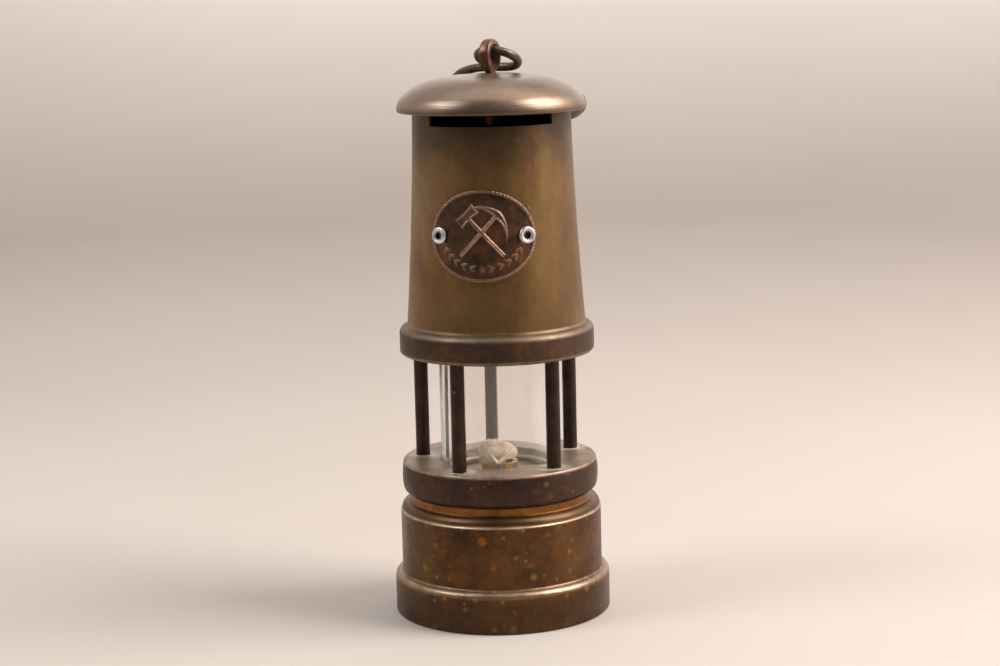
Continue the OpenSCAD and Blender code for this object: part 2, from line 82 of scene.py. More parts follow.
NECK_R = 37.0
NECK_TOP = 49.5
SCREW_R = 33.9
SCREW_WALL = 2.4
SCREW_PITCH = 2.0
BUSH_R = 7.15
DECK_T = 2.0
SHOULDER_R = 3.6
DRUM_WALL = 1.4
SPIGOT_T = 1.2
SPIGOT_H = 2.0
GLASS_WALL = 3.3
BONNET_FOOT_R = 36.15
BONNET_MOUTH_R = 31.7
BONNET_FLARE = 1.62
EYE_TURN = math.radians(-18)
EYE_HOLE_R = 4.3
EYE_STRAP_T = 2.1
EYE_STRAP_W = 4.6
LEG_R = 1.95
LEG_SPLAY = math.radians(8)
HOOK_R = 1.75
HOOK_PASS_Z = 227.8
HOOK_SLOPE = math.radians(27)
HOOK_EYE_R = 8.1
HOOK_EYE_BEND = math.radians(303)
HOOK_SHANK = 6.3
CROOK_R = 27.0
CROOK_BEND = math.radians(262)
PLATE_W = 44.0
PLATE_H = 36.0
PLATE_T = 1.0
RIVET_SPAN = 36.0


def bonnet_radius(z):
    """Outer radius of the flared bonnet at height z."""
    t = min(1, max(0, (z - BONNET_BOTTOM) / (BONNET_TOP - BONNET_BOTTOM)))
    return BONNET_MOUTH_R + (BONNET_FOOT_R - BONNET_MOUTH_R) * (1 - t) ** BONNET_FLARE


# ---- Mesh helpers ----


def make_piece(name, verts, faces, body, slot, material, replaces=(), smooth=40):
    """A mesh object from millimetre points, riding on a body."""
    mesh = bpy.data.meshes.new(name)
    mesh.from_pydata([tuple(c * MM for c in v) for v in verts], [], faces)
    mesh.validate()
    mesh.update()
    mesh.shade_smooth()
    mesh.set_sharp_from_angle(angle=math.radians(smooth))
    mesh.materials.append(material)
    piece = bpy.data.objects.new(name, mesh)
    bpy.context.scene.collection.objects.link(piece)
    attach(piece, body)
    if replaces:
        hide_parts(*replaces)
    return piece


def arc(cx, cy, r, a0, a1, steps):
    """Points of an arc, with its angles in degrees."""
    angles = [math.radians(a0 + (a1 - a0) * i / steps) for i in range(steps + 1)]
    return [(cx + r * math.cos(a), cy + r * math.sin(a)) for a in angles]


def ring_faces(rows, columns, closed=False):
    """Faces between neighbouring rings of points. closed joins the last ring to the first."""
    faces = []
    for i in range(rows if closed else rows - 1):
        k = (i + 1) % rows
        for j in range(columns):
            n = (j + 1) % columns
            faces.append((i * columns + j, i * columns + n, k * columns + n, k * columns + j))
    return faces


def end_faces(rows, columns):
    """Faces that close the first and the last of the rows."""
    last = (rows - 1) * columns
    return [tuple(reversed(range(columns))), tuple(last + j for j in range(columns))]


def lathe(profile, segments, shape=None):
    """Points and faces of a closed half section turned about Z. shape moves a point's radius."""
    verts = []
    for r, z in profile:
        for j in range(segments):
            angle = TAU * j / segments
            reach = r if shape is None else shape(r, z, angle)
            verts.append((reach * math.cos(angle), reach * math.sin(angle), z))
    return verts, ring_faces(len(profile), segments, closed=True)


def frames_along(path, closed=False):
    """A pair of cross directions at each point of a path, turned as little as possible."""
    points = [Vector(p) for p in path]
    count = len(points)
    pairs = []
    across = None
    for i in range(count):
        before = points[(i - 1) % count] if closed else points[max(i - 1, 0)]
        after = points[(i + 1) % count] if closed else points[min(i + 1, count - 1)]
        along = (after - before).normalized()
        if across is None:
            across = along.orthogonal().normalized()
        across = (across - along * across.dot(along)).normalized()
        pairs.append((across.copy(), along.cross(across)))
    return pairs


def tube(path, radii, sides, closed=False):
    """Points and faces of a round tube along a path; radii is a number or one per point."""
    if not hasattr(radii, "__len__"):
        radii = [radii] * len(path)
    verts = []
    for p, r, (u, v) in zip(path, radii, frames_along(path, closed)):
        for k in range(sides):
            angle = TAU * k / sides
            verts.append(tuple(Vector(p) + u * (r * math.cos(angle)) + v * (r * math.sin(angle))))
    faces = ring_faces(len(path), sides, closed)
    return verts, faces if closed else faces + end_faces(len(path), sides)


def round_ends(path, radius):
    """The path with its two ends drawn out into round caps, and the radius at each point."""
    steps = 5
    points = [Vector(p) for p in path]
    first, last = (points[0] - points[1]).normalized(), (points[-1] - points[-2]).normalized()
    lead, lead_r, tail, tail_r = [], [], [], []
    for i in range(1, steps + 1):
        angle = math.pi / 2 * i / (steps + 0.2)
        tail.append(points[-1] + last * (radius * math.sin(angle)))
        tail_r.append(radius * math.cos(angle))
        lead.insert(0, points[0] + first * (radius * math.sin(angle)))
        lead_r.insert(0, radius * math.cos(angle))
    return lead + points + tail, lead_r + [radius] * len(points) + tail_r


def gather(parts):
    """Joins several (points, faces) lists into one."""
    verts, faces = [], []
    for part_verts, part_faces in parts:
        start = len(verts)
        verts.extend(part_verts)
        faces.extend(tuple(start + i for i in face) for face in part_faces)
    return verts, faces


# ---- Material helpers ----


class Nodes:
    """A small builder for one material's node tree."""

    def __init__(self, name):
        self.material = bpy.data.materials.new(name)
        self.material.use_nodes = True
        self.tree = self.material.node_tree
        self.tree.nodes.clear()
        self.output = self.tree.nodes.new("ShaderNodeOutputMaterial")
        self.place = self.add("ShaderNodeTexCoord").outputs["Object"]

    def add(self, kind, inputs=None, **settings):
        made = self.tree.nodes.new(kind)
        for key, value in settings.items():
            setattr(made, key, value)
        for key, value in (inputs or {}).items():
            self.put(made.inputs[key], value)
        return made

    def put(self, socket, value):
        if isinstance(value, bpy.types.NodeSocket):
            self.tree.links.new(value, socket)
        elif hasattr(value, "__len__") and len(value) == 3 and socket.type == "RGBA":
            socket.default_value = (*value, 1)
        else:
            socket.default_value = value

    def math(self, operation, a, b=0.0, clamp=False):
        made = self.add("ShaderNodeMath", {0: a, 1: b}, operation=operation, use_clamp=clamp)
        return made.outputs[0]

    def noise(self, scale, detail=3, rough=0.55, place=None, distortion=0.0):
        inputs = {"Vector": place or self.place, "Scale": scale, "Detail": detail}
        inputs.update({"Roughness": rough, "Distortion": distortion})
        return self.add("ShaderNodeTexNoise", inputs).outputs["Fac"]

    def stretched(self, x, y, z):
        inputs = {"Vector": self.place, "Scale": (x, y, z)}
        return self.add("ShaderNodeMapping", inputs).outputs["Vector"]

    def spread(self, value, low, high, to_low=0.0, to_high=1.0):
        inputs = {"Value": value, "From Min": low, "From Max": high}
        inputs.update({"To Min": to_low, "To Max": to_high})
        return self.add("ShaderNodeMapRange", inputs, clamp=True).outputs[0]

    def ramp(self, value, stops, interpolation="LINEAR"):
        made = self.add("ShaderNodeValToRGB", {"Fac": value})
        made.color_ramp.interpolation = interpolation
        elements = made.color_ramp.elements
        while len(elements) < len(stops):
            elements.new(0.5)
        for element, (position, colour) in zip(elements, stops):
            element.position = position
            element.color = (*colour, 1)
        return made.outputs["Color"]

    def blend(self, share, a, b, kind="MIX"):
        made = self.add("ShaderNodeMix", data_type="RGBA", blend_type=kind)
        self.put(made.inputs["Factor"], share)
        self.put(made.inputs["A"], a)
        self.put(made.inputs["B"], b)
        return made.outputs["Result"]

    def bump(self, height, distance):
        inputs = {"Height": height, "Distance": distance, "Strength": 1.0}
        return self.add("ShaderNodeBump", inputs).outputs["Normal"]

    def shader(self, inputs):
        made = self.add("ShaderNodeBsdfPrincipled", inputs)
        self.tree.links.new(made.outputs[0], self.output.inputs["Surface"])
        return made

    def axis(self):
        """Height, and distance from the lamp's axis, in metres."""
        parts = self.add("ShaderNodeSeparateXYZ", {"Vector": self.place}).outputs
        across = self.add("ShaderNodeCombineXYZ", {"X": parts["X"], "Y": parts["Y"]}).outputs[0]
        reach = self.add("ShaderNodeVectorMath", {0: across}, operation="LENGTH").outputs["Value"]
        return parts["Z"], reach


SPOT_COLOURS = [
    (0.0, (0.28, 0.09, 0.012)),
    (0.3, (0.27, 0.14, 0.024)),
    (0.6, (0.2, 0.155, 0.036)),
    (0.85, (0.34, 0.24, 0.14)),
]
SPECK_COLOURS = [(0.0, (0.2, 0.12, 0.04)), (0.6, (0.28, 0.23, 0.17))]


def spots(nodes, scale, share, size, seed):
    """Round tarnish spots: how strongly each point is covered, and a random value per spot."""
    place = nodes.add(
        "ShaderNodeVectorMath", {0: nodes.place, 1: (seed, seed * 0.7, seed * 0.3)}, operation="ADD"
    ).outputs[0]
    cells = nodes.add(
        "ShaderNodeTexVoronoi", {"Vector": place, "Scale": scale, "Randomness": 0.9}
    ).outputs
    pick = nodes.add("ShaderNodeSeparateColor", {"Color": cells["Color"]}).outputs
    radius = nodes.spread(pick["Blue"], 0, 1, size * 0.35, size)
    ragged = nodes.math("MULTIPLY", nodes.noise(scale * 5), size * 0.5)
    near = nodes.math("SUBTRACT", nodes.math("ADD", radius, ragged), cells["Distance"])
    cover = nodes.spread(near, size * 0.05, size * 0.6)
    chosen = nodes.math("LESS_THAN", pick["Red"], share)
    return nodes.math("MULTIPLY", cover, chosen), pick["Green"]


def edge_wear_and_highlight(nodes, height, wear_highlight_bands):
    """How strongly each point takes the worn-edge colour, from (height in mm, half width in mm, strength)
    bands. These worn edges also carry a painted highlight.
    """
    total = None
    for level, half, strength in wear_highlight_bands:
        away = nodes.math("ABSOLUTE", nodes.math("SUBTRACT", height, level * MM))
        band = nodes.spread(away, 0, half * MM, strength, 0)
        total = band if total is None else nodes.math("MAXIMUM", total, band)
    ragged = nodes.spread(nodes.noise(160, 4, 0.6), 0.32, 0.62, 0.4, 1)
    return nodes.math("MULTIPLY", total, ragged)


def stain_and_painted_light_band(nodes, colour, axis, tint_band):
    """Mixes in a tint band that grows from z0 to z1 and from r0 to r1, in mm, with a cloudy edge. Materials
    use it for stains, for painted shade and for painted light.
    """
    (z0, z1), (r0, r1), tint, strength = tint_band
    height, reach = axis
    cloudy = nodes.spread(nodes.noise(70, 4, 0.6), 0.3, 0.7, -0.25, 0.25)
    rise = nodes.math("ADD", nodes.spread(height, z0 * MM, z1 * MM), cloudy)
    both = nodes.math("MULTIPLY", rise, nodes.spread(reach, r0 * MM, r1 * MM), clamp=True)
    edge = nodes.spread(both, 0.1, 0.9, 0, strength)
    return nodes.blend(edge, colour, tint)


def deposits(nodes, colour, points):
    """Whitish green salts round points on the metal, in mm: the colour, and how much is covered."""
    total = None
    for point in points:
        ends = {0: nodes.place, 1: tuple(c * MM for c in point)}
        away = nodes.add("ShaderNodeVectorMath", ends, operation="DISTANCE").outputs["Value"]
        near = nodes.spread(away, 3.2 * MM, 8 * MM, 1, 0)
        total = near if total is None else nodes.math("MAXIMUM", total, near)
    crust = nodes.spread(nodes.noise(520, 5, 0.7), 0.42, 0.54)
    cover = nodes.math("MULTIPLY", total, crust)
    return nodes.blend(cover, colour, (0.6, 0.6, 0.47)), cover


def patina(
    name, tones, wear_highlight_colour, wear_highlight_bands=(), rough=(0.34, 0.5), metallic=0.75, coat=0.12, big=55, tall=1.0,
    blotch=None, grain=0.62, spot_share=0.0, speck_share=0.0, turned=0.25, seed=0.0, stains_and_painted_light=(),
    salts=(),
):
    """Aged brass: mottled tones, blotches, tarnish spots, specks, turning marks and worn edges, whose paler
    colour is also a painted highlight.
    """
    nodes = Nodes(name)
    axis = height, reach = nodes.axis()
    clouds = nodes.noise(big, 6, 0.62, place=nodes.stretched(1, 1, tall), distortion=0.2)
    colour = nodes.ramp(clouds, list(zip((0.32, 0.5, 0.68), tones)))
    if blotch:
        patches = nodes.noise(big * 2.3, 5, 0.68, place=nodes.stretched(1, 1, tall), distortion=0.3)
        colour = nodes.blend(nodes.spread(patches, 0.5, 0.66, 0, 0.85), colour, blotch)
    flecks = nodes.spread(nodes.noise(420, 5, 0.72), 0.3, 0.7, grain, 1)
    shade = nodes.ramp(flecks, [(0, (0, 0, 0)), (1, (1, 1, 1))])
    colour = nodes.blend(1.0, colour, shade, "MULTIPLY")
    if spot_share:
        for scale, share in ((150, spot_share), (250, spot_share * 0.7)):
            cover, pick = spots(nodes, scale, share, 0.3, seed + scale * 0.001)
            tint = nodes.ramp(pick, SPOT_COLOURS, "CONSTANT")
            colour = nodes.blend(nodes.math("MULTIPLY", cover, 0.85), colour, tint)
    if speck_share:
        cover, pick = spots(nodes, 420, speck_share, 0.3, seed + 0.37)
        tint = nodes.ramp(pick, SPECK_COLOURS, "CONSTANT")
        colour = nodes.blend(nodes.math("MULTIPLY", cover, 0.42), colour, tint)
    for tint_band in stains_and_painted_light:
        colour = stain_and_painted_light_band(nodes, colour, axis, tint_band)
    if salts:
        colour, cover = deposits(nodes, colour, salts)
        metallic = nodes.spread(cover, 0, 1, metallic, 0)
    roughness = nodes.spread(nodes.noise(90, 4, 0.6), 0.3, 0.7, *rough)
    # Worn edges, partly real wear and partly a painted highlight: paler and a little smoother.
    if wear_highlight_bands:
        wear_highlight = edge_wear_and_highlight(nodes, height, wear_highlight_bands)
        colour = nodes.blend(wear_highlight, colour, wear_highlight_colour)
        roughness = nodes.math("SUBTRACT", roughness, nodes.math("MULTIPLY", wear_highlight, 0.1))
    rings = nodes.add("ShaderNodeCombineXYZ", {"X": reach, "Y": height}).outputs[0]
    marks = nodes.math("MULTIPLY", nodes.noise(2600, 2, 0.5, place=rings), turned * 0.1)
    dents = nodes.math("MULTIPLY", nodes.noise(110, 3, 0.5), 0.3)
    pits = nodes.math("MULTIPLY", nodes.noise(1500, 3, 0.7), 0.06)
    normal = nodes.bump(nodes.math("ADD", nodes.math("ADD", marks, dents), pits), 0.0005)
    nodes.shader({
        "Base Color": colour, "Roughness": roughness, "Metallic": metallic, "Normal": normal,
        "Coat Weight": coat, "Coat Roughness": 0.36, "Coat IOR": 1.45,
    })
    return nodes.material


def glass():
    """Clear old glass with faint streaks, dull towards its edges. It casts almost no shadow."""
    nodes = Nodes("chimney_glass")
    streaks = nodes.noise(60, 3, 0.6, place=nodes.stretched(1, 1, 0.25))
    rim = nodes.add("ShaderNodeLayerWeight", {"Blend": 0.5}).outputs["Facing"]
    roughness = nodes.math(
        "ADD", nodes.spread(streaks, 0.45, 0.75, 0.0, 0.04), nodes.spread(rim, 0.62, 0.9, 0, 0.24)
    )
    body = nodes.add("ShaderNodeBsdfPrincipled", {
        "Base Color": (0.975, 0.955, 0.935), "Roughness": roughness, "IOR": 1.3,
        "Transmission Weight": 0.96,
    })
    through = nodes.add("ShaderNodeBsdfTransparent", {"Color": (0.93, 0.95, 0.94)})
    path = nodes.add("ShaderNodeLightPath")
    mixed = nodes.add("ShaderNodeMixShader", {0: path.outputs["Is Shadow Ray"]})
    nodes.tree.links.new(body.outputs[0], mixed.inputs[1])
    nodes.tree.links.new(through.outputs[0], mixed.inputs[2])
    nodes.tree.links.new(mixed.outputs[0], nodes.output.inputs["Surface"])
    return nodes.material


def cotton(name, light, dark, scale):
    """Soft cotton with fibres and shaded hollows."""
    nodes = Nodes(name)
    fibres = nodes.noise(scale, 6, 0.72, distortion=1.2)
    hollows = nodes.noise(scale * 0.18, 3, 0.6)
    fine, coarse = nodes.math("MULTIPLY", fibres, 0.55), nodes.math("MULTIPLY", hollows, 0.45)
    bright = tuple(min(1, c * 1.12) for c in light)
    colour = nodes.ramp(nodes.math("ADD", fine, coarse), [(0.32, dark), (0.55, light), (0.8, bright)])
    normal = nodes.bump(fibres, 0.0004)
    nodes.shader({
        "Base Color": colour, "Roughness": nodes.spread(fibres, 0.2, 0.8, 0.8, 1.0),
        "Sheen Weight": 0.35, "Sheen Roughness": 0.5, "Normal": normal,
        "Subsurface Weight": 0.15, "Subsurface Radius": (0.002, 0.0015, 0.001),
    })
    return nodes.material


def plain_fibre(name, light, dark):
    """Pressed fibre or rubber for washers."""
    nodes = Nodes(name)
    flecks = nodes.noise(900, 5, 0.75)
    colour = nodes.ramp(flecks, [(0.35, dark), (0.65, light)])
    normal = nodes.bump(flecks, 0.0002)
    roughness = nodes.spread(flecks, 0.3, 0.7, 0.75, 0.95)
    nodes.shader({"Base Color": colour, "Roughness": roughness, "Normal": normal})
    return nodes.material


def wire_metal(name, light, dark, rough=(0.35, 0.5), clean=None):
    """Drawn wire or strap with a dark skin and worn patches. clean is (below this height, colour)."""
    nodes = Nodes(name)
    clouds = nodes.noise(300, 5, 0.6)
    colour = nodes.ramp(clouds, [(0.36, dark), (0.64, light)])
    if clean:
        level, tint = clean
        below = nodes.spread(nodes.axis()[0], level * MM, (level - 2) * MM)
        colour = nodes.blend(below, colour, tint)
    scratches = nodes.noise(1400, 3, 0.6, place=nodes.stretched(1, 1, 0.2))
    normal = nodes.bump(scratches, 0.00012)
    nodes.shader({
        "Base Color": colour, "Metallic": 0.8, "Roughness": nodes.spread(clouds, 0.3, 0.7, *rough),
        "Normal": normal, "Coat Weight": 0.2, "Coat Roughness": 0.3,
    })
    return nodes.material


def relief_bronze():
    """Antiqued bronze: dark hollows and rubbed high points, from the relief kept on the mesh."""
    nodes = Nodes("antique_bronze")
    relief = nodes.add("ShaderNodeAttribute", attribute_name="relief").outputs["Fac"]
    clouds = nodes.noise(140, 5, 0.65)
    tones = [(0.34, (0.04, 0.022, 0.015)), (0.5, (0.085, 0.042, 0.022)), (0.66, (0.16, 0.055, 0.025))]
    ground = nodes.ramp(clouds, tones)
    rubbed = nodes.math("MULTIPLY", relief, nodes.spread(nodes.noise(500, 3), 0.3, 0.6, 0.5, 1))
    colour = nodes.blend(nodes.math("MULTIPLY", rubbed, 0.8), ground, (0.4, 0.25, 0.17))
    dull = nodes.spread(clouds, 0.3, 0.7, 0.42, 0.6)
    roughness = nodes.math("SUBTRACT", dull, nodes.math("MULTIPLY", rubbed, 0.15))
    normal = nodes.bump(nodes.noise(1300, 4, 0.7), 0.00015)
    nodes.shader({
        "Base Color": colour, "Metallic": 0.8, "Roughness": roughness, "Normal": normal,
        "Coat Weight": 0.15, "Coat Roughness": 0.3,
    })
    return nodes.material


def rivet_metal():
    """Bright aluminium, dull with handling, and painted shade down the bore and in the dished head, kept on
    the mesh.
    """
    nodes = Nodes("rivet_aluminium")
    clouds = nodes.noise(900, 4, 0.6)
    metal = nodes.ramp(clouds, [(0.35, (0.55, 0.55, 0.57)), (0.65, (0.8, 0.78, 0.77))])
    bore = nodes.add("ShaderNodeAttribute", attribute_name="bore").outputs["Fac"]
    # Painted shade: black down the bore, and half as dark in the dished head.
    colour = nodes.blend(bore, metal, (0.012, 0.012, 0.014))
    nodes.shader({
        "Base Color": colour, "Metallic": 0.9, "Roughness": nodes.spread(clouds, 0.3, 0.7, 0.32, 0.46),
        "Normal": nodes.bump(nodes.noise(1500, 3), 0.0001),
    })
    return nodes.material


# ---- Materials ----

PILLARS = sorted(name for name in NODES if name.startswith("pillar_") and name != "pillar_nuts")


def pillar_feet():
    """Where the pillars stand on the lower ring."""
    middles = [(box_mm(name)[0] + box_mm(name)[1]) / 2 for name in PILLARS]
    return [(middle.x, middle.y, LOWER_TOP) for middle in middles]


SHOULDER_TOP = DRUM_TOP + SHOULDER_R
# Heights between which the bonnet is painted darker, up to the vent: painted shade under the hood
BONNET_PAINTED_SHADE = (176, 200)
# Radii between which the lower ring's top is painted paler, inwards from its edge: painted light on the top
# face
RING_TOP = (39.6, 38.6)
# Radii for a tint band that is the same at any distance from the axis
EVERYWHERE = (-2, -1)
# In each patina below, the colour after the tones paints the worn-edge bands: worn metal with a painted
# highlight.
VESSEL = patina(
    "vessel_patina",
    ((0.042, 0.019, 0.006), (0.105, 0.042, 0.009), (0.16, 0.078, 0.018)), (0.6, 0.44, 0.29),
    wear_highlight_bands=((FOOT_TOP - 0.9, 2.0, 0.65), (DRUM_TOP - 0.1, 0.8, 0.9)), blotch=(0.175, 0.06, 0.011),
    coat=0.14, spot_share=0.42, speck_share=0.12, seed=1.3,
    stains_and_painted_light=(((FOOT_TOP - 2.5, FOOT_TOP - 6), EVERYWHERE, (0.036, 0.02, 0.008), 0.45),),
)
NECK = patina(
    "neck_brass",
    ((0.08, 0.032, 0.008), (0.24, 0.088, 0.011), (0.36, 0.145, 0.02)), (0.5, 0.36, 0.24),
    wear_highlight_bands=((DRUM_TOP + 0.1, 0.8, 0.8),), big=80, rough=(0.34, 0.48), turned=0.6, seed=2.1,
    stains_and_painted_light=(
        ((SHOULDER_TOP + 0.5, SHOULDER_TOP - 0.5), (NECK_R, NECK_R + 1), (0.085, 0.04, 0.013), 0.95),
        # Painted light: the deck inside the screw neck is painted paler.
        ((DECK_Z - 0.6, DECK_Z - 0.2), (SCREW_R - 0.3, SCREW_R - 1.3), (0.46, 0.38, 0.26), 0.9),
    ),
)
RING = patina(
    "ring_patina",
    ((0.03, 0.014, 0.009), (0.057, 0.025, 0.014), (0.095, 0.04, 0.015)), (0.62, 0.42, 0.3),
    wear_highlight_bands=((LOWER_TOP - 0.5, 0.9, 0.75), (UPPER_TOP - 1.5, 1.3, 0.22), (UPPER_BOTTOM + 1, 0.8, 0.3)),
    blotch=(0.12, 0.044, 0.011), rough=(0.42, 0.56), metallic=0.6, coat=0.05,
    spot_share=0.07, speck_share=0.06, seed=0.4,
    # Painted light: the lower ring's top face paler than its sides.
    stains_and_painted_light=(((LOWER_TOP - 0.3, LOWER_TOP - 0.02), RING_TOP, (0.13, 0.097, 0.055), 0.8),),
    salts=pillar_feet(),
)
BONNET = patina(
    "bonnet_patina",
    ((0.115, 0.058, 0.016), (0.2, 0.106, 0.03), (0.28, 0.175, 0.064)), (0.42, 0.3, 0.18),
    wear_highlight_bands=((BONNET_BOTTOM + 0.8, 0.9, 0.35),), blotch=(0.17, 0.068, 0.018),
    big=26, tall=0.45, rough=(0.4, 0.54), coat=0.45, grain=0.78, speck_share=0.06, seed=3.1,
    # Painted shade under the hood, darkening the bonnet up to the vent.
    stains_and_painted_light=((BONNET_PAINTED_SHADE, EVERYWHERE, (0.03, 0.016, 0.008), 0.8),),
)
HOOD = patina(
    "hood_patina",
    ((0.18, 0.125, 0.08), (0.245, 0.165, 0.11), (0.31, 0.212, 0.148)), (0.5, 0.36, 0.27),
    big=34, rough=(0.32, 0.4), coat=0.45, grain=0.9, speck_share=0.04, turned=0.9, seed=4.4,
    # Darker along the hood's lowest 2.4 mm, at its rim.
    stains_and_painted_light=(((HOOD_RIM + 2.4, HOOD_RIM + 0.1), EVERYWHERE, (0.07, 0.04, 0.028), 0.85),),
)
PILLAR = patina(
    "pillar_patina",
    ((0.026, 0.014, 0.009), (0.044, 0.022, 0.014), (0.065, 0.034, 0.02)), (0.2, 0.13, 0.09),
    big=120, rough=(0.38, 0.55), speck_share=0.02, seed=5.2,
)
BURNER = patina(
    "burner_brass",
    ((0.24, 0.12, 0.026), (0.46, 0.26, 0.06), (0.62, 0.38, 0.11)), (0.85, 0.63, 0.32),
    wear_highlight_bands=((BURNER_TOP, 0.5, 0.9),), big=260, rough=(0.22, 0.4), turned=0.5, seed=6.0,
)
INNER = patina(
    "inner_brass",
    ((0.16, 0.1, 0.045), (0.25, 0.16, 0.07), (0.34, 0.23, 0.11)), (0.5, 0.36, 0.2),
    big=120, rough=(0.35, 0.5), turned=0.6, seed=7.7,
)
GLASS = glass()
WICK = cotton("wick_cotton", (0.82, 0.67, 0.52), (0.36, 0.25, 0.16), 900)
WADDING = cotton("cotton_wadding", (0.82, 0.77, 0.66), (0.45, 0.38, 0.26), 700)
SEAL = plain_fibre("seal_rubber", (0.05, 0.042, 0.036), (0.018, 0.015, 0.013))
WASHER = plain_fibre("washer_fibre", (0.66, 0.6, 0.48), (0.42, 0.36, 0.26))
GAUZE = wire_metal("gauze_wire", (0.34, 0.29, 0.24), (0.13, 0.1, 0.08))
COPPER = wire_metal(
    "eye_copper", (0.2, 0.095, 0.058), (0.08, 0.04, 0.026), rough=(0.3, 0.45),
    clean=(HOOD_TOP - 5, (0.95, 0.33, 0.1)),
)
HOOK = wire_metal("hook_wire", (0.15, 0.1, 0.078), (0.055, 0.038, 0.03))
RIVET = rivet_metal()
BRONZE = relief_bronze()

CARRIED_OVER = {
    "foot_ring": VESSEL, "vessel_drum": VESSEL, "vessel_base": VESSEL, "burner_bush": INNER,
    "vessel_seal": SEAL, "burner": BURNER, "burner_washer": WASHER, "lower_ring": RING,
    "glass_seat_ring": INNER, "lower_glass_washer": WASHER, "upper_glass_washer": WASHER,
    "pillar_nuts": INNER, "upper_ring": RING, "gauze_ring": INNER, "bonnet": BONNET, "hood": HOOD,
    "eye_washer": INNER, **{name: PILLAR for name in PILLARS},
}


def dress_frame():
    """Gives the CAD nodes that stay in view their materials."""
    for name, material in CARRIED_OVER.items():
        slots = NODES[name].data.materials
        for i in range(len(slots)):
            slots[i] = material


# ---- Oil vessel ----


def screw_thread(r, z, angle):
    """Radius of the screw neck: a right-hand thread cut into the plain cylinder."""
    depth, runout = 0.9, 0.8
    if abs(r - SCREW_R) > 1e-6:
        return r
    turn = (z / SCREW_PITCH - angle / TAU) % 1
    groove = max(0, 1 - abs(turn - 0.5) / 0.36) ** 0.8
    fade = min(1, (z - NECK_TOP) / runout, (DECK_Z - z) / runout)
    return r - depth * groove * max(0, fade)


def vessel_top():
    """Shoulder, neck band and threaded neck, closed by the deck."""
    mid_r = DRUM_R - 0.4 - SHOULDER_R
    lip_r = DRUM_R - DRUM_WALL
    shell = SHOULDER_R - DRUM_WALL
    bore_r = SCREW_R - SCREW_WALL
    steps = 52
    thread = [(SCREW_R, NECK_TOP + (DECK_Z - 0.3 - NECK_TOP) * i / steps) for i in range(steps + 1)]
    profile = [
        *arc(mid_r, DRUM_TOP, SHOULDER_R, 0, 90, 12),
        (NECK_R + 0.4, SHOULDER_TOP), (NECK_R, SHOULDER_TOP + 0.4),
        (NECK_R, NECK_TOP - 0.3), (NECK_R - 0.3, NECK_TOP),
        *thread, (SCREW_R - 0.4, DECK_Z),
        (BUSH_R, DECK_Z), (BUSH_R, DECK_Z - DECK_T), (bore_r, DECK_Z - DECK_T),
        (bore_r, DRUM_TOP + shell), *arc(mid_r, DRUM_TOP, shell, 90, 30, 4),
        (lip_r - SPIGOT_T, DRUM_TOP), (lip_r - SPIGOT_T, DRUM_TOP - SPIGOT_H),
        (lip_r, DRUM_TOP - SPIGOT_H), (lip_r, DRUM_TOP),
    ]
    shape = lathe(profile, 240, screw_thread)
    make_piece("vessel_top_threaded", *shape, "vessel", "neck_brass", NECK, ["vessel_top"])


def wadding():
    """Cotton wadding, as lumps pressed into the ring-shaped room round the wick tube."""
    low, high = box_mm("cotton_wadding")
    outer, foot, top = high.x, low.z, high.z
    inner, inner_round, outer_round = 4.9, 3, 5
    rng = np.random.default_rng(3)
    waves = []
    for _ in range(26):
        count, phase = rng.integers(2, 26), rng.uniform(0, TAU)
        waves.append((count, phase, rng.uniform(0.05, 0.5), rng.uniform(0, TAU)))

    def lumps(r, z, angle):
        """Radius of the lumpy surface, pressed in from the plain outline."""
        value = sum(math.sin(n * angle + p) * math.cos(z * k + q) / n ** 0.5 for n, p, k, q in waves)
        middle = (inner + outer) / 2
        dip = 1.1 + 0.5 * math.tanh(value * 0.5)
        return r - dip if r > middle else r + dip * 0.4

    side, core = outer - outer_round, inner + inner_round
    profile = [(outer, foot + outer_round + (top - foot - 2 * outer_round) * i / 13) for i in range(14)]
    profile += arc(side, top - outer_round, outer_round, 10, 90, 8)
    profile += [(side + (core - side) * i / 12, top - 0.9 * (i % 2)) for i in range(1, 12)]
    profile += arc(core, top - inner_round, inner_round, 90, 180, 6)
    profile += [(inner, top - inner_round + (foot + 2 * inner_round - top) * i / 8) for i in range(1, 9)]
    profile += arc(core, foot + inner_round, inner_round, 180, 270, 6)[1:]
    profile += arc(side, foot + outer_round, outer_round, 270, 350, 8)
    shape = lathe(profile, 160, lumps)
    piece = make_piece("cotton_lumps", *shape, "vessel", "cotton", WADDING, ["cotton_wadding"], smooth=80)


# ---- Wick ----


def wick_cord():
    """Three twisted plies that hang down through the wick tube."""
    plies, ply_r, offset, lay = 3, 1.2, 1.22, 9.0
    top = BURNER_TOP + 1.5
    steps = 90
    parts = []
    for ply in range(plies):
        path = []
        for i in range(steps + 1):
            z = WICK_FOOT + 0.4 + (top - WICK_FOOT) * i / steps
            angle = TAU * (z / lay + ply / plies)
            path.append((offset * math.cos(angle), offset * math.sin(angle), z))
        parts.append(tube(path, ply_r, 10))
    make_piece("wick_cord", *gather(parts), "wick", "wick_cotton", WICK)


